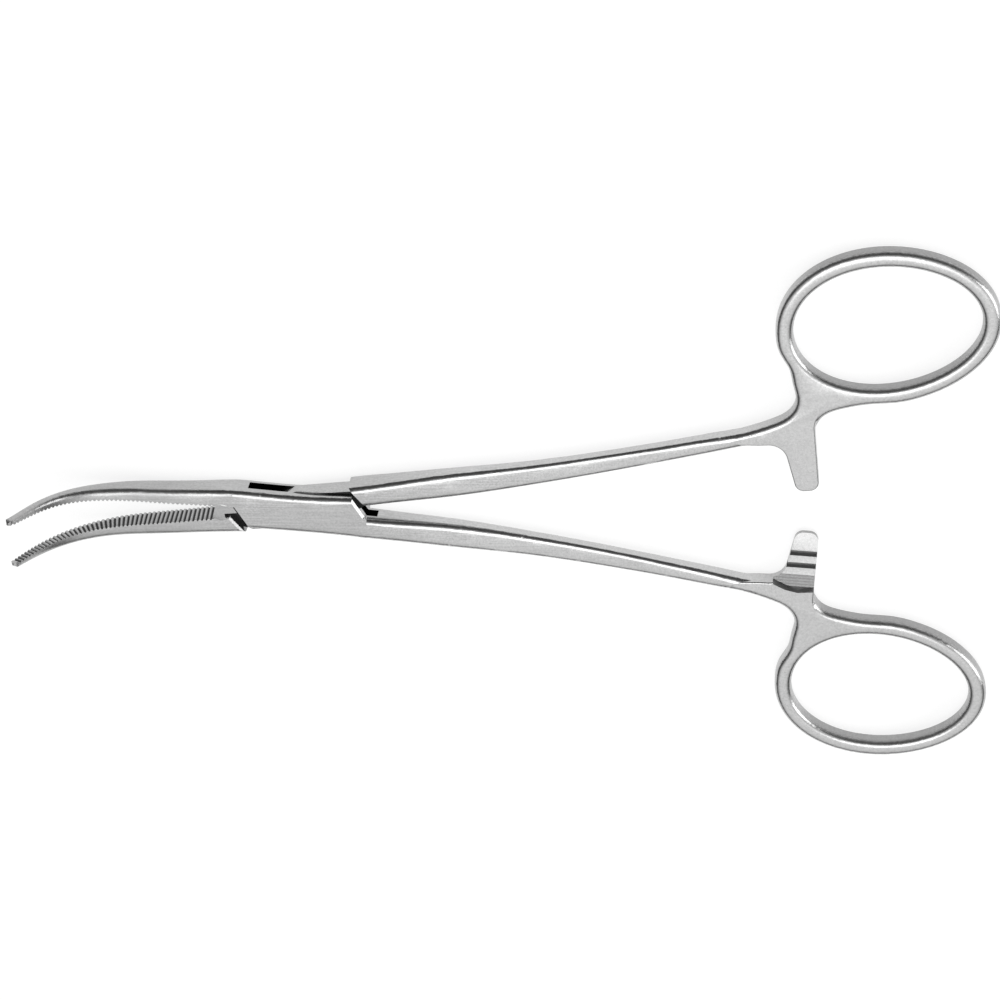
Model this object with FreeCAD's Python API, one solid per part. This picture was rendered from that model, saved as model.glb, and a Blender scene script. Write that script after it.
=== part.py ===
import FreeCAD, Part
import math
import os

V = FreeCAD.Vector

# Curved haemostatic forceps, 140 mm long, lying flat with the jaw tips curving up.
# Each half is first drawn closed, in its own frame: the pivot axis is Z through the
# origin, the jaw points to -X and lies below the line Y = 0, the ring lies above it.
# The half with the box is that shape mirrored in Y. All lengths are in millimetres.

# Pose at rest
OPENING_DEG = 8.6            # angle between the two halves as the instrument lies

# Box lock
BOX_THICKNESS = 4.3          # over both plates, which is also the pin's length
MORTISE_HEIGHT = 1.78        # slot through the box, between the plates
TANG_CLEARANCE = 0.04        # running gap on each face of the tang
PIN_RADIUS = 1.3
PIN_CLEARANCE = 0.04         # running gap, on the radius, in the tang
BOX_JAW_SIDE = 2.75          # pivot axis to the box side that carries the jaw's back
BOX_RING_SIDE = 3.42         # pivot axis to the box side that carries the shank
BOX_WAIST = 0.12             # how far the jaw side draws in beside the pin
BOX_JAW_FLARE = 0.32         # how much wider the jaw side is at the shank end
SLANT_DEG = 34.0             # slant of the plate ends from square across
PLATE_JAW_END = 10.2         # pivot to the plate end at the jaws, on the centre line
PLATE_SHANK_END = 8.9        # pivot to the plate end at the shanks, on the centre line
SHOULDER_GAP = 0.45          # plate end to the other half's shoulder when closed
MORTISE_JAW_END = 8.1        # pivot to the slot's end wall in the jaw root
MORTISE_SHANK_END = 10.6     # pivot to the slot's end wall in the shank root
MORTISE_CORNER = 0.25        # rounding of the slot's corners
TANG_INSET = 0.15            # gap between the tang and the slot's end at the jaw root
TANG_FACE_GAP = 0.05         # tang to the gripping line y = 0 at the jaw root
TANG_NECK_RISE = 1.5         # height of the tang just inside the jaw root
TANG_NECK_RUN = 1.3          # length over which it rises there
TANG_NECK_ROUND = 0.6        # rounding of its corners there
TANG_CROWN_PLACE = 0.5       # crown of the tang's ring side, from the pivot towards the jaws
TANG_CROWN_RISE = 0.25       # height of that crown over the box's jaw side
TANG_CROWN_ROUND = 8.0       # rounding of that crown
TANG_SHANK_RISE = 0.55       # height of the ring side over the box's jaw side at the shank
TANG_SHANK_CUT = 4.5         # pivot to where the tang's shank end leaves the box side
TANG_SHANK_ROUND = 1.0       # rounding of its corner there
TANG_ROOT = 1.5              # how far the tang runs into the jaw root and the shank root
PLATE_CHAMFER = 0.32         # bevel along the slanted plate ends and the jaw's shoulder
BEVEL_SPARE = 0.05           # how far the bevel's cutting shape stands clear of the metal
EDGE_ROUND = 0.95            # rounding of the box, the shank roots and the rings
EDGE_SHARE = 0.66            # that rounding as a share of a thinner shank's half height

# Jaw: distance from the pivot, rise of the middle, thickness and width at each station
JAW_STATIONS = (
    (7.0, 0.06, 3.96, 3.00),
    (PLATE_JAW_END, 0.00, 4.25, BOX_JAW_SIDE),
    (13.0, 0.15, 4.00, 2.60),
    (18.0, 0.50, 3.70, 2.32),
    (24.0, 0.80, 3.35, 2.05),
    (29.5, 1.75, 2.65, 1.78),
    (34.0, 3.85, 1.82, 1.58),
    (37.5, 7.20, 1.45, 1.25),
    (40.6, 11.90, 1.05, 0.90),
)
JAW_BACK_ROUND = 0.95        # rounding of the jaw's back corners at the root
JAW_BACK_SHARE = 0.42        # that rounding as a share of a thinner jaw's thickness
JAW_FACE_ROUND = 0.07        # small rounding beside the gripping face
TIP_ROUND = 0.60             # rounding of the tip, seen from the side

# Grip serrations across the gripping faces
TOOTH_PITCH = 0.65
TOOTH_DEPTH = 0.28
TOOTH_GAP = 0.52             # width of the groove between two crests
TOOTH_START = 13.3           # pivot to the first groove
TOOTH_TIP_LAND = 0.5         # plain face left at the tip
RELIEF_PLACE = 11.7          # pivot to the relief groove at the jaw root
RELIEF_RADIUS = 2.0
RELIEF_DEPTH = 0.4

# Shank: distance from the pivot, outer side, inner side and half thickness
WEB_HALF = 1.42              # half thickness where shank, rack and ring meet
SHANK_STATIONS = (
    (6.0, 3.47, 0.23, 2.08),
    (9.2, 3.67, 0.28, 2.12),
    (14.4, 3.98, 0.42, 1.83),
    (20.5, 4.38, 0.56, 1.52),
    (32.0, 4.85, 1.53, 1.19),
    (44.1, 5.86, 3.00, 1.09),
    (54.0, 6.97, 4.44, 1.18),
    (60.0, 7.72, 5.37, 1.32),
    (63.5, 8.17, 5.91, WEB_HALF),
)
SHANK_END = (64.5, 8.33, 6.06, WEB_HALF)     # its hidden end, inside the web
JOIN_STEP = 0.03             # how much slimmer the shank is where it meets the box and the web
JOIN_LAP = 0.5               # how far the shank's root runs into the box

# Finger ring
RING_X = 84.2
RING_Y = 22.77
RING_HOLE_LONG = 12.85       # half the hole's length
RING_HOLE_WIDE = 9.10        # half the hole's width
RING_WIDTH = 2.45            # width of the ring's metal
RING_TURN_DEG = 2.0
RING_EGG = 0.016             # how much fuller the ring is at its far end
RING_WEB_DEG = 206.0         # where the web's outer side leaves the ring
RING_RACK_DEG = 258.0        # where the web's inner side leaves the ring
RING_POINTS = 22             # curve points round the ring's outside
HOLE_POINTS = 24             # curve points round its hole

# Web between shank and ring: points on its two sides
WEB_OUTER = ((67.4, 9.22), (70.15, 10.6), (71.2, 12.5), (70.95, 15.2))
WEB_INNER = ((67.5, 6.3), (71.0, 6.5), (73.0, 7.4), (74.5, 9.5), (78.0, 10.9))

# Rack bar with the ratchet teeth
RACK_TIP = -1.5              # the bar reaches this far past the centre line
RACK_TIP_LEFT = 70.35
RACK_TIP_ROUND = 1.3
RACK_RIGHT = 73.55
RACK_ROOT_LEFT = 69.0        # where the bar's left side meets the shank's inner side
RACK_ROOT = 6.0
RACK_FLARE_LEFT = 2.6        # rounding between the bar and the shank
RACK_FLARE_RIGHT = 3.05      # rounding between the bar and the web
RACK_WEB_Y = 10.4            # where the bar's right side meets the web
RACK_RIM = ((61.8, 7.0), (63.4, 6.3), (65.6, 6.1))       # the flare's rim along the shank
RACK_WEB = ((79.0, 12.1), (77.0, 13.0), (68.0, 8.2))     # the bar's root inside the web
RACK_ROUND = 0.25            # rounding of its edges
RACK_CREST_GAP = 0.06        # gap from the crests to the middle plane
RACK_PITCH = 1.97
RACK_DEPTH = 0.78
RACK_STEEP = 0.1             # run of each tooth's steep side
RACK_KNEE_RUN = 0.9          # the sloping side rises fast for this far
RACK_KNEE_DEPTH = 0.1        # and gently from this depth to the next crest
RACK_FIRST = 1.22            # centre line to the first crest
RACK_TEETH = 2
RACK_FINE_PITCH = 0.49       # finer steps between the teeth and the web
RACK_FINE_DEPTH = 0.2
RACK_FINE_TEETH = 4
RACK_LEAD_RUN = 2.6          # length of the sloping lead-in at the bar's tip
RACK_LEAD_DEPTH = 0.5        # how far it falls away there
RACK_WALL = ((67.6, 6.2), (69.4, 7.0), (71.2, 7.36), (73.4, 7.1))     # where the web steps up

# Room given to cutting shapes so that they pass clear through
PAST = 6.0


def mirror_y(shape):
    """The same solid on the other side of the centre line."""
    return shape.mirror(V(0, 0, 0), V(0, 1, 0))


def rounded_outline(corners, z):
    """A closed wire at height z through (x, y, radius) corners, with arcs where the radius asks."""
    edges = []
    count = len(corners)
    ends = []
    for i in range(count):
        x, y, radius = corners[i]
        here = V(x, y, z)
        before = V(corners[i - 1][0], corners[i - 1][1], z)
        after = V(corners[(i + 1) % count][0], corners[(i + 1) % count][1], z)
        to_before = (before - here).normalize()
        to_after = (after - here).normalize()
        if radius == 0:
            ends.append((here, here, None))
            continue
        half_angle = to_before.getAngle(to_after) / 2
        back = radius / math.tan(half_angle)
        bisector = (to_before + to_after).normalize()
        middle = here + bisector * (radius / math.sin(half_angle) - radius)
        ends.append((here + to_before * back, here + to_after * back, middle))
    for i in range(count):
        start, stop, middle = ends[i]
        if middle is not None:
            edges.append(Part.Arc(start, middle, stop).toShape())
        edges.append(Part.LineSegment(stop, ends[(i + 1) % count][0]).toShape())
    return Part.Wire(edges)


def prism(corners, low, high):
    """A flat outline of (x, y, radius) corners, thickened from z = low to z = high."""
    face = Part.Face(rounded_outline(corners, low))
    return face.extrude(V(0, 0, high - low))


def section(origin, across, up, low, high, half, low_round, high_round):
    """A rounded rectangle from low to high along 'across' and plus or minus half along 'up'."""
    def at(a, u):
        return origin + across * a + up * u

    def corner(a, u, radius):
        step_a = radius if a == low else -radius
        step_u = radius if u < 0 else -radius
        cut = radius * (1 - math.sqrt(0.5))
        on_side = at(a, u + step_u)
        on_end = at(a + step_a, u)
        middle = at(a + math.copysign(cut, step_a), u + math.copysign(cut, step_u))
        return on_side, middle, on_end

    low_down = corner(low, -half, low_round)
    high_down = corner(high, -half, high_round)
    high_up = corner(high, half, high_round)
    low_up = corner(low, half, low_round)
    edges = [
        Part.Arc(low_down[0], low_down[1], low_down[2]).toShape(),
        Part.LineSegment(low_down[2], high_down[2]).toShape(),
        Part.Arc(high_down[2], high_down[1], high_down[0]).toShape(),
        Part.LineSegment(high_down[0], high_up[0]).toShape(),
        Part.Arc(high_up[0], high_up[1], high_up[2]).toShape(),
        Part.LineSegment(high_up[2], low_up[2]).toShape(),
        Part.Arc(low_up[2], low_up[1], low_up[0]).toShape(),
        Part.LineSegment(low_up[0], low_down[0]).toShape(),
    ]
    return Part.Wire(edges)


def jaw_axis():
    """The jaw's middle line, which curves up towards the tip."""
    curve = Part.BSplineCurve()
    curve.interpolate([V(-place, 0, rise) for place, rise, _, _ in JAW_STATIONS])
    return curve


def jaw_frame(curve, parameter):
    """A point on the jaw's middle line, the way along it and the way up across it."""
    point = curve.value(parameter)
    along = curve.tangent(parameter)[0]
    up = V(0, 1, 0).cross(along)
    if up.z < 0:
        up = up * -1
    return point, along, up


def jaw_blank():
    """The plain jaw, from inside the box to the rounded tip, with a flat gripping face at y = 0."""
    curve = jaw_axis()
    wires = []
    for place, rise, thickness, width in JAW_STATIONS:
        origin, _, up = jaw_frame(curve, curve.parameter(V(-place, 0, rise)))
        back = min(JAW_BACK_ROUND, JAW_BACK_SHARE * thickness)
        wires.append(section(origin, V(0, 1, 0), up, -width, 0.0, thickness / 2, back, JAW_FACE_ROUND))
    return Part.makeLoft(wires, True, False)


def block(origin, along, across, up, box_low, box_high):
    """A box given by its corners in the frame (along, across, up) at origin."""
    size = box_high - box_low
    corner = origin + along * box_low.x + across * box_low.y + up * box_low.z
    face = Part.Face(Part.makePolygon([
        corner,
        corner + along * size.x,
        corner + along * size.x + across * size.y,
        corner + across * size.y,
        corner,
    ]))
    return face.extrude(up * size.z)


def tip_cutters():
    """What rounds the jaw's tip, from the side and from above."""
    curve = jaw_axis()
    _, _, thickness, width = JAW_STATIONS[-1]
    point, along, up = jaw_frame(curve, curve.LastParameter)
    across = V(0, 1, 0)
    centre = point - along * TIP_ROUND
    side = block(centre, along, across, up, V(0, -PAST, -PAST), V(PAST, PAST, PAST))
    keep_side = Part.makeCylinder(thickness / 2, 2 * PAST, centre - across * PAST, across)
    behind = block(centre, along, across, up, V(-PAST, -PAST, -PAST), V(0, PAST, PAST))
    keep_side = keep_side.fuse(behind)
    centre_above = point - along * width
    above = block(centre_above, along, across, up, V(0, -PAST, -PAST), V(PAST, 0, PAST))
    keep_above = Part.makeCylinder(width, 2 * PAST, centre_above - up * PAST, up)
    return [side.cut(keep_side), above.cut(keep_above)]


def serrations(first):
    """V grooves across the gripping face, one pitch apart along the curved jaw."""
    curve = jaw_axis()
    edge = curve.toShape()
    _, first_rise, _, _ = JAW_STATIONS[1]
    start = curve.parameter(V(-TOOTH_START, 0, first_rise))
    length = curve.length(curve.FirstParameter, start) + first
    half = TOOTH_GAP / 2
    grooves = []
    while length < edge.Length - TOOTH_TIP_LAND:
        point, along, up = jaw_frame(curve, edge.getParameterByLength(length))
        profile = (
            (-half, TOOTH_DEPTH),
            (half, TOOTH_DEPTH),
            (half, 0),
            (0, -TOOTH_DEPTH),
            (-half, 0),
        )
        corners = [point + along * a + V(0, y, 0) - up * PAST / 2 for a, y in profile]
        grooves.append(Part.Face(Part.makePolygon(corners + corners[:1])).extrude(up * PAST))
        length += TOOTH_PITCH
    return grooves


def relief_groove():
    """The shallow round groove across the gripping face at the jaw root."""
    centre = V(-RELIEF_PLACE, RELIEF_RADIUS - RELIEF_DEPTH, -PAST)
    return Part.makeCylinder(RELIEF_RADIUS, 2 * PAST, centre, V(0, 0, 1))


def jaw(first_groove):
    """One finished jaw."""
    tools = tip_cutters() + serrations(first_groove) + [relief_groove()]
    return jaw_blank().cut(tools)


def shank():
    """The shank, from inside the box to just inside the web."""
    join = SHANK_STATIONS[-1][0]
    across = V(0, 1, 0)
    up = V(0, 0, 1)
    wires = []
    for place, outer, inner, half in SHANK_STATIONS + (SHANK_END,):
        step = JOIN_STEP if place >= join else 0.0
        radius = min(EDGE_ROUND, EDGE_SHARE * half)
        origin = V(place, 0, 0)
        wires.append(section(origin, across, up, inner + step, outer - step, half - step, radius, radius))
    return Part.makeLoft(wires, True, False)


def ring_point(angle_deg, long, wide):
    """A point of the ring's slightly egg-shaped oval."""
    t = math.radians(angle_deg)
    fuller = 1 + RING_EGG * math.cos(3 * t)
    x = long * fuller * math.cos(t)
    y = wide * fuller * math.sin(t)
    turn = math.radians(RING_TURN_DEG)
    turned_x = x * math.cos(turn) - y * math.sin(turn)
    turned_y = x * math.sin(turn) + y * math.cos(turn)
    return V(RING_X + turned_x, RING_Y + turned_y, 0)


def ring_and_web():
    """The finger ring with the web that joins it to the shank, with every edge rounded."""
    long = RING_HOLE_LONG + RING_WIDTH
    wide = RING_HOLE_WIDE + RING_WIDTH
    join = SHANK_STATIONS[-1][0]
    shank_end = SHANK_STATIONS[-2:]
    sweep = 360 - (RING_RACK_DEG - RING_WEB_DEG)
    step = sweep / RING_POINTS
    path = [V(place, outer, 0) for place, outer, _, _ in shank_end]
    path += [V(x, y, 0) for x, y in WEB_OUTER]
    path += [ring_point(RING_WEB_DEG - step * i, long, wide) for i in range(RING_POINTS + 1)]
    path += [V(x, y, 0) for x, y in reversed(WEB_INNER)]
    path += [V(place, inner, 0) for place, _, inner, _ in reversed(shank_end)]
    curve = Part.BSplineCurve()
    curve.interpolate(path)
    end = Part.LineSegment(path[-1], path[0]).toShape()
    hole_step = 360 / HOLE_POINTS
    hole_points = [ring_point(hole_step * i, RING_HOLE_LONG, RING_HOLE_WIDE) for i in range(HOLE_POINTS)]
    hole_curve = Part.BSplineCurve()
    hole_curve.interpolate(hole_points, PeriodicFlag=True)
    outline = Part.Wire([curve.toShape(), end])
    face = Part.Face([outline, Part.Wire([hole_curve.toShape()])])
    face.translate(V(0, 0, -WEB_HALF))
    behind = Part.makeBox(PAST, 4 * PAST, 2 * PAST, V(join - PAST, -PAST, -PAST))
    plate = face.extrude(V(0, 0, 2 * WEB_HALF)).cut(behind)
    radius = min(EDGE_ROUND, EDGE_SHARE * WEB_HALF)
    rims = []
    for edge in plate.Edges:
        flat = abs(edge.BoundBox.ZMax - edge.BoundBox.ZMin) < 1e-3
        at_join = edge.BoundBox.XMax < join + 1e-3
        if flat and not at_join:
            rims.append(edge)
    return plate.makeFillet(radius, rims)


def rack_bar():
    """The rack bar with its flares, at the web's full thickness, before it is cut."""
    corners = [(x, y, 0) for x, y in RACK_RIM]
    corners += [
        (RACK_ROOT_LEFT, RACK_ROOT, RACK_FLARE_LEFT),
        (RACK_TIP_LEFT, RACK_TIP, RACK_TIP_ROUND),
        (RACK_RIGHT, RACK_TIP, RACK_TIP_ROUND),
        (RACK_RIGHT, RACK_WEB_Y, RACK_FLARE_RIGHT),
    ]
    corners += [(x, y, 0) for x, y in RACK_WEB]
    bar = prism(corners, -WEB_HALF, WEB_HALF)
    rims = []
    for edge in bar.Edges:
        box = edge.BoundBox
        flat = box.ZMax - box.ZMin < 1e-3
        in_web = box.YMax > RACK_WEB[0][1] + 1e-3
        in_shank = box.XMin < RACK_RIM[1][0] - 1e-3
        if flat and not in_web and not in_shank:
            rims.append(edge)
    return bar.makeFillet(RACK_ROUND, rims)


def rack_recess():
    """What is cut from the lower half of the bar, up to the web, to leave teeth that face down."""
    crest = RACK_CREST_GAP
    start = RACK_TIP - BEVEL_SPARE
    profile = [
        (start, -PAST),
        (start, crest + RACK_LEAD_DEPTH),
        (RACK_TIP + RACK_LEAD_RUN, crest),
    ]
    y = RACK_FIRST
    for _ in range(RACK_TEETH):
        profile.append((y, crest))
        profile.append((y + RACK_STEEP, crest + RACK_DEPTH))
        profile.append((y + RACK_KNEE_RUN, crest + RACK_KNEE_DEPTH))
        y += RACK_PITCH
    for _ in range(RACK_FINE_TEETH):
        profile.append((y, crest))
        profile.append((y + RACK_STEEP, crest + RACK_FINE_DEPTH))
        y += RACK_FINE_PITCH
    profile.append((y, crest))
    profile.append((2 * PAST, crest))
    profile.append((2 * PAST, -PAST))
    left = RACK_WALL[0][0]
    right = RACK_WALL[-1][0] + RACK_FLARE_RIGHT
    points = [V(left, across, up) for across, up in profile]
    teeth = Part.Face(Part.makePolygon(points + points[:1])).extrude(V(right - left, 0, 0))
    plan = [(x, y, 0) for x, y in RACK_WALL]
    plan += [(right, RACK_WALL[-1][1], 0), (right, 2 * start, 0), (left, 2 * start, 0)]
    return teeth.common(prism(plan, -2 * PAST, PAST))


def ring_end():
    """Ring, web and rack bar in one, with the teeth facing down."""
    return ring_and_web().fuse(rack_bar()).cut(rack_recess())


def slanted(place, side):
    """The region on one side of a slanted end, whose line crosses y = 0 at place."""
    reach = 2 * PAST
    lean = reach * math.tan(math.radians(SLANT_DEG))
    far = place + side * 10 * reach
    return prism([
        (place + lean, -reach, 0),
        (far, -reach, 0),
        (far, reach, 0),
        (place - lean, reach, 0),
    ], -2 * reach, 2 * reach)


def end_bevels(place, side, y_low, y_high):
    """Cutters that bevel a slanted end, front and back, between two heights y."""
    slope = math.tan(math.radians(SLANT_DEG))
    outward = V(math.cos(math.radians(SLANT_DEG)), math.sin(math.radians(SLANT_DEG)), 0) * side
    start = V(place - y_low * slope, y_low, 0)
    stop = V(place - y_high * slope, y_high, 0)
    face_z = BOX_THICKNESS / 2
    cutters = []
    for up in (1, -1):
        profile = (
            (-PLATE_CHAMFER, face_z),
            (-PLATE_CHAMFER, face_z + BEVEL_SPARE),
            (BEVEL_SPARE, face_z + BEVEL_SPARE),
            (BEVEL_SPARE, face_z - PLATE_CHAMFER - BEVEL_SPARE),
        )
        corners = [start + outward * out + V(0, 0, up * z) for out, z in profile]
        cutters.append(Part.Face(Part.makePolygon(corners + corners[:1])).extrude(stop - start))
    return cutters


def box_side(place):
    """Distances from the centre line to the box's jaw side and ring side."""
    join, ring_side, _, _ = SHANK_STATIONS[1]
    ring_side += JOIN_STEP
    waist = BOX_WAIST * math.cos(math.pi / 2 * place / PLATE_JAW_END)
    along = max(0.0, place / join)
    jaw_side = BOX_JAW_SIDE + BOX_JAW_FLARE * along - waist
    return jaw_side, BOX_RING_SIDE + (ring_side - BOX_RING_SIDE) * along ** 2


def box_plates():
    """The full box with its slanted ends, for the half that carries it."""
    join, _, inner, _ = SHANK_STATIONS[1]
    inner -= JOIN_STEP
    wires = []
    for place in (-PLATE_JAW_END, -PLATE_JAW_END / 2, 0.0, join / 2, join):
        jaw_side, ring_side = box_side(place)
        wires.append(section(V(place, 0, 0), V(0, 1, 0), V(0, 0, 1), -jaw_side, ring_side,
                             BOX_THICKNESS / 2, EDGE_ROUND, EDGE_ROUND))
    lean = math.tan(math.radians(SLANT_DEG))
    plan = prism([
        (-PLATE_JAW_END, -PAST, 0),
        (PLATE_SHANK_END - PAST * lean, -PAST, 0),
        (PLATE_SHANK_END + inner * lean, inner, 0),
        (join, inner, 0),
        (join, PAST, 0),
        (-PLATE_JAW_END + PAST * lean, PAST, 0),
        (-PLATE_JAW_END, 0, 0),
    ], -PAST, PAST)
    return Part.makeLoft(wires, True, False).common(plan)


def mortise():
    """The slot through the box in which the other half's tang turns."""
    half = MORTISE_HEIGHT / 2
    return prism([
        (-MORTISE_JAW_END, -PAST, 0),
        (3 * PAST, -PAST, 0),
        (3 * PAST, 0, 0),
        (MORTISE_SHANK_END, 0, MORTISE_CORNER),
        (MORTISE_SHANK_END, PAST, 0),
        (-3 * PAST, PAST, 0),
        (-3 * PAST, 0, 0),
        (-MORTISE_JAW_END, 0, 0),
    ], -half, half)


def tang():
    """The thin plate that passes through the box and turns on the pin."""
    half = MORTISE_HEIGHT / 2 - TANG_CLEARANCE
    neck = -(MORTISE_JAW_END - TANG_INSET)
    jaw_root = -(PLATE_JAW_END + TANG_ROOT)
    shank_root, _, shank_inner, _ = SHANK_STATIONS[2]
    shank_root -= TANG_ROOT
    return prism([
        (jaw_root, -TANG_FACE_GAP, 0),
        (neck, -TANG_FACE_GAP, 0),
        (neck + TANG_NECK_RUN, TANG_NECK_RISE, TANG_NECK_ROUND),
        (-TANG_CROWN_PLACE, BOX_JAW_SIDE + TANG_CROWN_RISE, TANG_CROWN_ROUND),
        (shank_root, BOX_JAW_SIDE + TANG_SHANK_RISE, 0),
        (shank_root, shank_inner + SHOULDER_GAP, 0),
        (PLATE_SHANK_END + SHOULDER_GAP, shank_inner, 0),
        (TANG_SHANK_CUT, -BOX_RING_SIDE, TANG_SHANK_ROUND),
        (neck, -BOX_JAW_SIDE, TANG_NECK_ROUND),
        (jaw_root, -BOX_JAW_SIDE / 2, 0),
    ], -half, half)


def box_half():
    """The half with the box, drawn closed with its ring above the centre line."""
    join = SHANK_STATIONS[1][0]
    jaw_corner = V(-8 * PAST - PLATE_JAW_END, -PAST, -4 * PAST)
    jaw_room = Part.makeBox(8 * PAST, 2 * PAST, 8 * PAST, jaw_corner)
    shank_room = Part.makeBox(16 * PAST, 4 * PAST, 2 * PAST, V(join - JOIN_LAP, -PAST, -PAST))
    whole = jaw(0.0).common(jaw_room).fuse([
        box_plates(),
        shank().common(shank_room),
        mirror_z(ring_end()),
    ])
    bevels = [mirror_y(cutter) for cutter in end_bevels(-PLATE_JAW_END, -1, -PAST, 0.0)]
    bevels += [mirror_y(cutter) for cutter in end_bevels(PLATE_SHANK_END, 1, 0.0, PAST)]
    hole = Part.makeCylinder(PIN_RADIUS, 2 * PAST, V(0, 0, -PAST))
    return whole.cut([mortise(), hole] + bevels)


def tang_half():
    """The half with the tang, drawn closed with its ring above the centre line."""
    gap = SHOULDER_GAP / math.cos(math.radians(SLANT_DEG))
    jaw_end = -PLATE_JAW_END - gap
    shank_end = PLATE_SHANK_END + gap
    whole = jaw(TOOTH_PITCH / 2).common(slanted(jaw_end, -1)).fuse([
        tang(),
        shank().common(slanted(shank_end, 1)),
        ring_end(),
    ])
    hole = Part.makeCylinder(PIN_RADIUS + PIN_CLEARANCE, 2 * PAST, V(0, 0, -PAST))
    return whole.cut([hole] + end_bevels(jaw_end, 1, -PAST, 0.0))


def mirror_z(shape):
    """The same solid on the other side of the middle plane."""
    return shape.mirror(V(0, 0, 0), V(0, 0, 1))


def placed(shape, turn_deg):
    """A half turned to its place at rest, with the box's underside at z = 0."""
    result = shape.copy()
    result.rotate(V(0, 0, 0), V(0, 0, 1), turn_deg)
    result.translate(V(0, 0, BOX_THICKNESS / 2))
    return result


def single(shape):
    """The one solid that a shape must hold."""
    solids = shape.Solids
    if len(solids) != 1:
        raise ValueError("expected one solid, found %d" % len(solids))
    return solids[0]


def main():
    pin = Part.makeCylinder(PIN_RADIUS, BOX_THICKNESS, V(0, 0, 0))
    nodes = {
        "box_half": placed(single(mirror_y(box_half())), -OPENING_DEG / 2),
        "tang_half": placed(single(tang_half()), OPENING_DEG / 2),
        "pivot_pin": pin,
    }
    os.makedirs("parts", exist_ok=True)
    for name, shape in nodes.items():
        shape.exportStep("parts/%s.step" % name)


if __name__ == "__main__":
    main()
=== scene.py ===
import math
from types import SimpleNamespace

import bpy
from mathutils import Matrix, Vector


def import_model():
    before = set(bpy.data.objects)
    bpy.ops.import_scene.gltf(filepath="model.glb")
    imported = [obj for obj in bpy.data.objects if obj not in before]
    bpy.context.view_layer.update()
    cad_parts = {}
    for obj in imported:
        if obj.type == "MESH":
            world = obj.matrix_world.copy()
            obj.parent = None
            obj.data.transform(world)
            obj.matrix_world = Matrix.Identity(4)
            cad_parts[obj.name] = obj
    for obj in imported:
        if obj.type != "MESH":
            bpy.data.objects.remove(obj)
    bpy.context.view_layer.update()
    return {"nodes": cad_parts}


# Camera, from the photograph: angles in radians, lengths in metres
TILT = 0.50633
YAW = -0.11881
ROLL = 0.04859
DISTANCE = 0.43031
OFFSET_X = -0.02802
OFFSET_Y = 0.00087
FOCAL_SHARE = 2.99682        # focal length as a share of the picture's width
SENSOR_MM = 36.0
CLIP_NEAR = 0.01
CLIP_FAR = 100.0
MIDDLE_Z = 0.00215           # height of the box's middle plane, which the camera is measured from

# Light
DOME_TILT = 0.35             # how far the dome's bright middle leans to -Y, in radians
DOME_BRIGHT = 1.02
DOME_DARK = 0.09
DOME_DARK_AT = 0.42          # cosine from the bright middle where the dome is dark
DOME_BRIGHT_AT = 1.0         # and where it is fully bright
FLOOR_GREY = 0.35
FLOOR_GLOW = 0.79
FLOOR_SIZE = 6.0
FLOOR_DROP = 0.00005         # keeps the floor clear of the faces that lie on it
LAMPS = {                    # place, spot it is aimed at, side and watts
    "overhead": ((0.03, 0.0, 0.9), (0.03, 0.0, 0.0), 0.50, 1.3),
    "right": ((0.90, 0.06, 0.42), (0.0, 0.0, 0.0), 0.60, 3.0),
}

# Steel: lengths in metres, places along the part from the pivot, depths from the middle plane
JAW_COLOUR = 0.43
BOX_COLOUR = 0.475           # the ground box
SHANK_COLOUR = 0.55          # the finer satin of shanks, webs and rings
JAW_FROM = -0.010            # the jaw's finish starts here
JAW_COLOUR_FULL = -0.022     # its colour is full here
JAW_ROUGH_FULL = -0.020      # and its roughness here
SHANK_FROM = 0.010           # the shank's finish starts here
SHANK_FULL = 0.024
ROUGH_GROUND = 0.21          # roughness of the box and the shanks
ROUGH_JAW = 0.32
ROUGH_RING = 0.25            # of the rings' and webs' flat sides
ROUGH_RIM = 0.27             # and how much more on their rims
HALF_TURN = 0.07505          # how far each half is turned at rest, in radians

# Grinding lines, grain and clouding, as shares of the colour
LINE_SCALE = (120, 5200, 5200)
LINE_BOX = 0.60
LINE_SHANK = 0.08
LINE_END = 0.070             # the lengthwise lines are down to the shank's strength here
GRAIN_SCALE = 3200.0
GRAIN = 0.48
CLOUD_SCALE = 160.0
CLOUD = 0.09
NOISE_MIDDLE = 0.5
ROUGH_UNEVEN = 0.25          # how much of the lines goes into the roughness
BUMP_STRENGTH = 0.35
BUMP_HEIGHT = 0.00002

# Painted shade on the faces inside the box lock, which are also taken as dark, unpolished faces
LOCK_SHADE_COLOUR = 0.035
LOCK_SHADE_FLAT = 0.9             # they face up or down at least this squarely
LOCK_SHADE_REACH = 0.0132         # how far from the pivot they reach
LOCK_SHADE_HALF = 0.00093         # and how far from the middle plane
TANG_HALF = 0.00087          # the tang's faces are nearer to it than this, the box's are not
TANG_BRIGHT_FROM = 0.0024    # the tang gets no painted shade beyond this distance to its jaw's side, where it stands out of the closed box
                             # stands out of the closed box

# Painted shade in the grooves of the grip, darker towards the bottom
GROOVE_FROM = 0.00003        # depth at which they start to darken
GROOVE_FULL = 0.00022
GROOVE_SHADE = 0.80          # share of painted shade taken off at the bottom
GROOVE_DEEPEST = 0.0004
GROOVE_FACING = 0.4          # their faces look at the other jaw at least this squarely
GROOVE_END = -0.0128         # where they end, towards the box

# Painted shade in the valleys between the ratchet teeth
RACK_SHADE = 0.30
RACK_FROM = 0.0664           # where the teeth start, along the part
RACK_REACH = 0.0075          # how far they reach from the closed instrument's middle line
RACK_HALF = 0.00095          # the teeth lie nearer to the middle plane than this
RACK_FACING = 0.3            # the bar's sides, which face up or down less than this, get no painted shade
VALLEY_FROM = 0.00006
VALLEY_FULL = 0.0003
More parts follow.
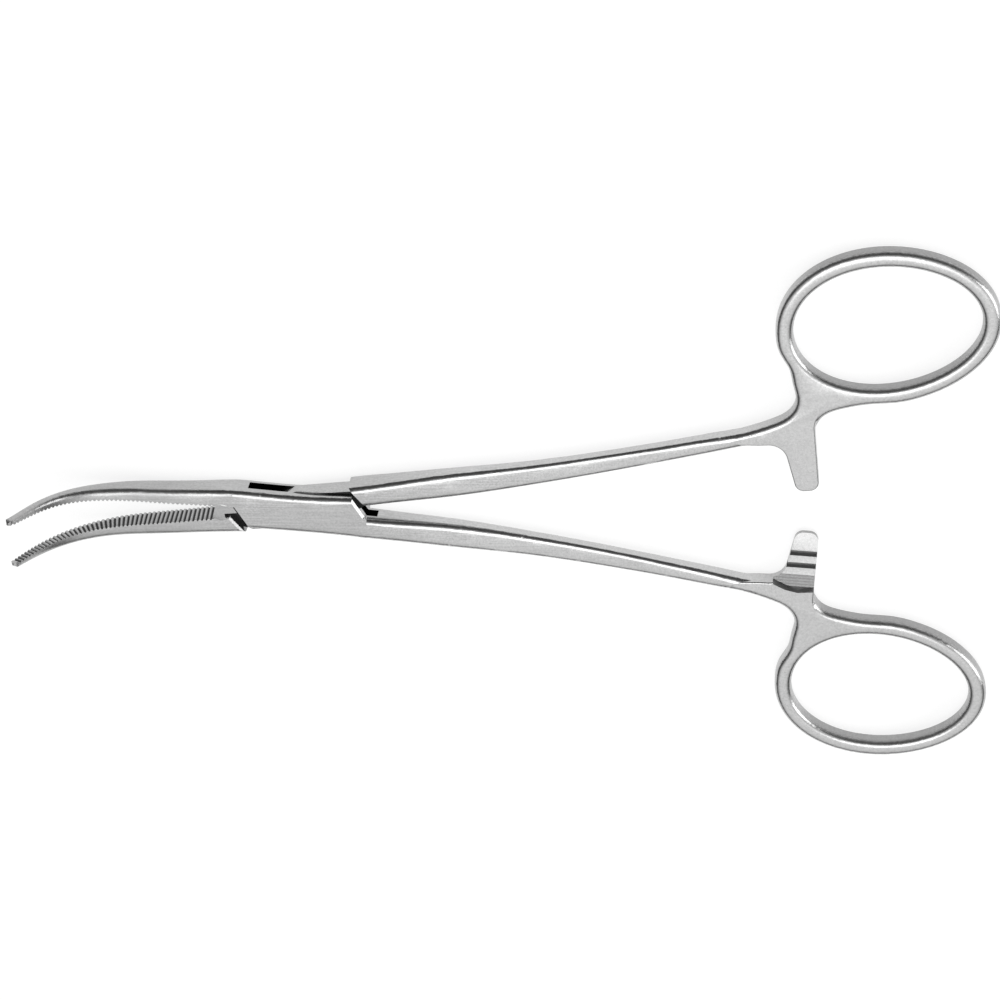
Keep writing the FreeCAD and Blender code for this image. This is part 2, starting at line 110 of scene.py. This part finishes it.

# Rims of the rings and webs, with painted shade on their long sides
RING_FROM = 0.062
RING_FULL = 0.074
SIDE_FROM = 0.8              # a rim starts where the face looks up or down this squarely
SIDE_FULL = 0.35
RIM_SHADE = 0.26             # share of painted shade taken off the rims' long sides
RIM_FROM = 0.35              # which look across the part this squarely
RIM_FULL = 0.9

# Smooth shading
SMOOTH_BELOW = math.radians(24)
MERGE_WITHIN = 1e-7

# Layout of the nodes in the editor
NODES_A_ROW = 12
COLUMN_STEP = 180
ROW_STEP = 260


def grey(level):
    """An opaque grey."""
    return (level, level, level, 1)


def add_node(tree, kind, **inputs):
    """A node with its inputs set by name, laid out in rows in the order of making."""
    row, column = divmod(len(tree.nodes), NODES_A_ROW)
    node = tree.nodes.new(kind)
    node.location = (column * COLUMN_STEP, -row * ROW_STEP)
    for name, value in inputs.items():
        node.inputs[name.replace("_", " ")].default_value = value
    return node


def maths(tree, operation, first, second=0.0):
    """A maths node on two inputs, each a socket or a number."""
    node = add_node(tree, "ShaderNodeMath")
    node.operation = operation
    for socket, value in zip(node.inputs, (first, second)):
        if isinstance(value, (int, float)):
            socket.default_value = value
        else:
            tree.links.new(value, socket)
    return node.outputs[0]


def combined(tree, operation, values):
    """One operation over all the values, from the first on."""
    result = values[0]
    for value in values[1:]:
        result = maths(tree, operation, result, value)
    return result


def fade(tree, value, start, stop, low, high):
    """A smooth change from low to high while the value goes from start to stop."""
    node = add_node(tree, "ShaderNodeMapRange")
    node.interpolation_type = "SMOOTHSTEP"
    for socket, bound in zip(node.inputs[1:], (start, stop, low, high)):
        socket.default_value = bound
    tree.links.new(value, node.inputs[0])
    return node.outputs[0]


def noise(tree, vector, share, **inputs):
    """Noise about zero, times the share."""
    field = add_node(tree, "ShaderNodeTexNoise", **inputs)
    tree.links.new(vector, field.inputs["Vector"])
    centred = maths(tree, "SUBTRACT", field.outputs["Fac"], NOISE_MIDDLE)
    return maths(tree, "MULTIPLY", centred, share)


def camera():
    """The photograph's camera."""
    turn = Matrix.Rotation(ROLL, 3, "Z")
    turn = turn @ Matrix.Rotation(TILT, 3, "X") @ Matrix.Rotation(YAW, 3, "Y")
    seen = Matrix.Diagonal(Vector((1, -1, -1))) @ turn
    right, down, ahead = seen[0], seen[1], seen[2]
    offset = Vector((OFFSET_X, OFFSET_Y, DISTANCE))
    place = -(seen.transposed() @ offset) + Vector((0, 0, MIDDLE_Z))
    axes = Matrix((right, -down, -ahead)).transposed()
    data = bpy.data.cameras.new("camera")
    data.sensor_width = SENSOR_MM
    data.lens = FOCAL_SHARE * SENSOR_MM
    data.clip_start = CLIP_NEAR
    data.clip_end = CLIP_FAR
    made = bpy.data.objects.new("camera", data)
    made.matrix_world = Matrix.Translation(place) @ axes.to_4x4()
    bpy.context.scene.collection.objects.link(made)
    bpy.context.scene.camera = made


def world():
    """A soft studio dome, bright overhead and dark towards the horizon."""
    made = bpy.data.worlds.new("studio")
    made.use_nodes = True
    tree = made.node_tree
    tree.nodes.clear()
    coord = add_node(tree, "ShaderNodeTexCoord")
    middle = add_node(tree, "ShaderNodeVectorMath")
    middle.operation = "DOT_PRODUCT"
    middle.inputs[1].default_value = (0, -math.sin(DOME_TILT), math.cos(DOME_TILT))
    ramp = add_node(tree, "ShaderNodeValToRGB")
    back = add_node(tree, "ShaderNodeBackground", Strength=1.0)
    out = add_node(tree, "ShaderNodeOutputWorld")
    ramp.color_ramp.interpolation = "EASE"
    low, high = ramp.color_ramp.elements
    low.position = DOME_DARK_AT
    low.color = grey(DOME_DARK)
    high.position = DOME_BRIGHT_AT
    high.color = grey(DOME_BRIGHT)
    tree.links.new(coord.outputs["Generated"], middle.inputs[0])
    tree.links.new(middle.outputs["Value"], ramp.inputs[0])
    tree.links.new(ramp.outputs[0], back.inputs["Color"])
    tree.links.new(back.outputs[0], out.inputs["Surface"])
    bpy.context.scene.world = made


def lamp(name, place, aim, side, watts):
    """A square soft lamp."""
    data = bpy.data.lights.new(name, "AREA")
    data.shape = "SQUARE"
    data.size = side
    data.energy = watts
    made = bpy.data.objects.new(name, data)
    made.location = place
    made.rotation_mode = "QUATERNION"
    made.rotation_quaternion = (Vector(aim) - Vector(place)).to_track_quat("-Z", "Y")
    bpy.context.scene.collection.objects.link(made)


def floor():
    """A plain white floor that keeps the object's shadow."""
    half = FLOOR_SIZE / 2
    corners = [(-half, -half, 0), (half, -half, 0), (half, half, 0), (-half, half, 0)]
    mesh = bpy.data.meshes.new("floor")
    mesh.from_pydata(corners, [], [(0, 1, 2, 3)])
    made = bpy.data.objects.new("floor", mesh)
    made.location = (0, 0, -FLOOR_DROP)
    bpy.context.scene.collection.objects.link(made)
    material = bpy.data.materials.new("floor")
    material.use_nodes = True
    tree = material.node_tree
    tree.nodes.clear()
    rays = add_node(tree, "ShaderNodeLightPath")
    kinds = ("Is Camera Ray", "Is Glossy Ray", "Is Transmission Ray")
    seen = combined(tree, "MAXIMUM", [rays.outputs[kind] for kind in kinds])
    glow = add_node(tree, "ShaderNodeEmission")
    tree.links.new(maths(tree, "MULTIPLY", seen, FLOOR_GLOW), glow.inputs["Strength"])
    matte = add_node(tree, "ShaderNodeBsdfDiffuse", Color=grey(FLOOR_GREY))
    both = add_node(tree, "ShaderNodeAddShader")
    out = add_node(tree, "ShaderNodeOutputMaterial")
    tree.links.new(matte.outputs[0], both.inputs[0])
    tree.links.new(glow.outputs[0], both.inputs[1])
    tree.links.new(both.outputs[0], out.inputs["Surface"])
    mesh.materials.append(material)


def turned_y(tree, vector, turn):
    """The y of a vector with the half turned back by that angle."""
    own = maths(tree, "MULTIPLY", vector.outputs["Y"], math.cos(turn))
    other = maths(tree, "MULTIPLY", vector.outputs["X"], math.sin(turn))
    return maths(tree, "SUBTRACT", own, other)


def surface(tree, turn):
    """Where a point of a half turned by that angle lies, and which way its face looks."""
    coord = add_node(tree, "ShaderNodeTexCoord").outputs["Object"]
    normal = add_node(tree, "ShaderNodeNewGeometry").outputs["True Normal"]
    place = add_node(tree, "ShaderNodeSeparateXYZ")
    facing = add_node(tree, "ShaderNodeSeparateXYZ")
    tree.links.new(coord, place.inputs[0])
    tree.links.new(normal, facing.inputs[0])
    height = maths(tree, "SUBTRACT", place.outputs["Z"], MIDDLE_Z)
    own_y = turned_y(tree, place, turn)
    return SimpleNamespace(
        coord=coord,
        along=place.outputs["X"],
        depth=maths(tree, "ABSOLUTE", height),
        own_y=own_y,
        off_face=maths(tree, "ABSOLUTE", own_y),
        upright=maths(tree, "ABSOLUTE", facing.outputs["Z"]),
        sideways=maths(tree, "ABSOLUTE", facing.outputs["Y"]),
        across=maths(tree, "ABSOLUTE", turned_y(tree, facing, turn)),
    )


def lock_painted_shade(tree, at):
    """1 where painted shade darkens the faces inside the box lock, and 0 elsewhere."""
    inside = maths(tree, "LESS_THAN", at.depth, LOCK_SHADE_HALF)
    near = maths(tree, "LESS_THAN", maths(tree, "ABSOLUTE", at.along), LOCK_SHADE_REACH)
    flat = maths(tree, "GREATER_THAN", at.upright, LOCK_SHADE_FLAT)
    hidden = combined(tree, "MULTIPLY", (inside, near, flat))
    on_tang = maths(tree, "LESS_THAN", at.depth, TANG_HALF)
    stands_out = maths(tree, "GREATER_THAN", at.own_y, TANG_BRIGHT_FROM)
    tang_out_of_box = maths(tree, "MULTIPLY", on_tang, stands_out)
    return maths(tree, "MAXIMUM", maths(tree, "SUBTRACT", hidden, tang_out_of_box), 0.0)


def groove_shade(tree, at):
    """How much painted shade darkens the grooves of the grip."""
    groove = fade(tree, at.off_face, GROOVE_FROM, GROOVE_FULL, 0.0, GROOVE_SHADE)
    across = maths(tree, "GREATER_THAN", at.across, GROOVE_FACING)
    shallow = maths(tree, "LESS_THAN", at.off_face, GROOVE_DEEPEST)
    on_jaw = maths(tree, "LESS_THAN", at.along, GROOVE_END)
    return combined(tree, "MULTIPLY", (groove, across, shallow, on_jaw))


def valley_shade(tree, at):
    """How much painted shade darkens the valleys between the ratchet teeth."""
    valley = fade(tree, at.depth, VALLEY_FROM, VALLEY_FULL, 0.0, RACK_SHADE)
    not_side = maths(tree, "GREATER_THAN", at.upright, RACK_FACING)
    on_rack = maths(tree, "GREATER_THAN", at.along, RACK_FROM)
    thin = maths(tree, "LESS_THAN", at.depth, RACK_HALF)
    near = maths(tree, "LESS_THAN", at.off_face, RACK_REACH)
    return combined(tree, "MULTIPLY", (valley, not_side, on_rack, thin, near))


def steel(name, turn):
    """Satin steel of a half turned by that angle, with painted shade inside the lock, in the grip's
    grooves, between the ratchet teeth and on the rings' rims.
    """
    material = bpy.data.materials.new(name)
    material.use_nodes = True
    tree = material.node_tree
    shader = tree.nodes["Principled BSDF"]
    shader.inputs["Metallic"].default_value = 1.0
    at = surface(tree, turn)

    stretch = add_node(tree, "ShaderNodeMapping", Scale=LINE_SCALE)
    tree.links.new(at.coord, stretch.inputs["Vector"])
    strength = fade(tree, at.along, SHANK_FROM, LINE_END, LINE_BOX, LINE_SHANK)
    lines = noise(tree, stretch.outputs[0], strength, Scale=1.0, Detail=4.0, Roughness=0.65)
    grain = noise(tree, at.coord, GRAIN, Scale=GRAIN_SCALE, Detail=2.0, Roughness=0.7)
    cloud = noise(tree, at.coord, CLOUD, Scale=CLOUD_SCALE, Detail=2.0, Roughness=0.5)
    relief = maths(tree, "ADD", lines, grain)
    factor = combined(tree, "ADD", (relief, cloud, 1.0))

    level = fade(tree, at.along, SHANK_FROM, SHANK_FULL, BOX_COLOUR, SHANK_COLOUR)
    jaw = fade(tree, at.along, JAW_COLOUR_FULL, JAW_FROM, JAW_COLOUR - BOX_COLOUR, 0.0)
    level = maths(tree, "ADD", level, jaw)
    # painted shade in the grip's grooves and between the ratchet teeth, as a factor on the colour
    recess_painted_shade = maths(tree, "ADD", groove_shade(tree, at), valley_shade(tree, at))
    recess_painted_shade = maths(tree, "SUBTRACT", 1.0, recess_painted_shade)
    at_ring = fade(tree, at.along, RING_FROM, RING_FULL, 0.0, 1.0)
    at_side = fade(tree, at.upright, SIDE_FROM, SIDE_FULL, 0.0, 1.0)
    rim = maths(tree, "MULTIPLY", at_side, at_ring)
    # painted shade on the rims' long sides, where they look across the part
    rim_painted_shade = fade(tree, at.sideways, RIM_FROM, RIM_FULL, 0.0, RIM_SHADE)
    rim_painted_shade = maths(tree, "SUBTRACT", 1.0, maths(tree, "MULTIPLY", rim_painted_shade, rim))
    steel_with_painted_shade = combined(tree, "MULTIPLY", (factor, level, recess_painted_shade, rim_painted_shade))
    # the painted shade inside the box lock is mixed over the steel's colour here
    colour = add_node(tree, "ShaderNodeMix")
    colour.data_type = "FLOAT"
    tree.links.new(lock_painted_shade(tree, at), colour.inputs["Factor"])
    tree.links.new(steel_with_painted_shade, colour.inputs["A"])
    tree.links.new(maths(tree, "MULTIPLY", factor, LOCK_SHADE_COLOUR), colour.inputs["B"])
    tree.links.new(colour.outputs["Result"], shader.inputs["Base Color"])

    flat_ring = maths(tree, "MULTIPLY", at_ring, ROUGH_RING - ROUGH_GROUND)
    rim_rough = maths(tree, "MULTIPLY", rim, ROUGH_RIM)
    plain = fade(tree, at.along, JAW_ROUGH_FULL, JAW_FROM, ROUGH_JAW, ROUGH_GROUND)
    uneven = maths(tree, "MULTIPLY", lines, ROUGH_UNEVEN)
    rough = combined(tree, "ADD", (flat_ring, rim_rough, plain, uneven))
    tree.links.new(rough, shader.inputs["Roughness"])
    bump = add_node(tree, "ShaderNodeBump", Strength=BUMP_STRENGTH, Distance=BUMP_HEIGHT)
    tree.links.new(relief, bump.inputs["Height"])
    tree.links.new(bump.outputs[0], shader.inputs["Normal"])
    return material


def smoothing():
    """Shades the rounded parts smooth and keeps the real edges sharp, without touching the mesh."""
    group = bpy.data.node_groups.new("smooth_by_angle", "GeometryNodeTree")
    for way in ("INPUT", "OUTPUT"):
        group.interface.new_socket("Geometry", in_out=way, socket_type="NodeSocketGeometry")
    source = add_node(group, "NodeGroupInput")
    merge = add_node(group, "GeometryNodeMergeByDistance", Distance=MERGE_WITHIN)
    angle = add_node(group, "GeometryNodeInputMeshEdgeAngle")
    below = add_node(group, "FunctionNodeCompare")
    below.operation = "LESS_THAN"
    below.inputs[1].default_value = SMOOTH_BELOW
    faces = add_node(group, "GeometryNodeSetShadeSmooth")
    edges = add_node(group, "GeometryNodeSetShadeSmooth")
    edges.domain = "EDGE"
    sink = add_node(group, "NodeGroupOutput")
    group.links.new(source.outputs[0], merge.inputs["Geometry"])
    group.links.new(merge.outputs[0], faces.inputs["Geometry"])
    group.links.new(faces.outputs[0], edges.inputs["Geometry"])
    group.links.new(angle.outputs["Unsigned Angle"], below.inputs[0])
    group.links.new(below.outputs[0], edges.inputs["Shade Smooth"])
    group.links.new(edges.outputs[0], sink.inputs[0])
    return group


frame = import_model()

camera()
world()
floor()
for name, settings in LAMPS.items():
    lamp(name, *settings)
steels = {
    "box_half": steel("satin_steel_with_painted_shade_of_box_half", -HALF_TURN),
    "tang_half": steel("satin_steel_with_painted_shade_of_tang_half", HALF_TURN),
}
steels["pivot_pin"] = steels["box_half"]
smooth = smoothing()
for name, node in frame["nodes"].items():
    node.data.materials.clear()
    node.data.materials.append(steels[name])
    node.modifiers.new("smooth_by_angle", "NODES").node_group = smooth
bpy.context.scene.view_settings.view_transform = "Standard"
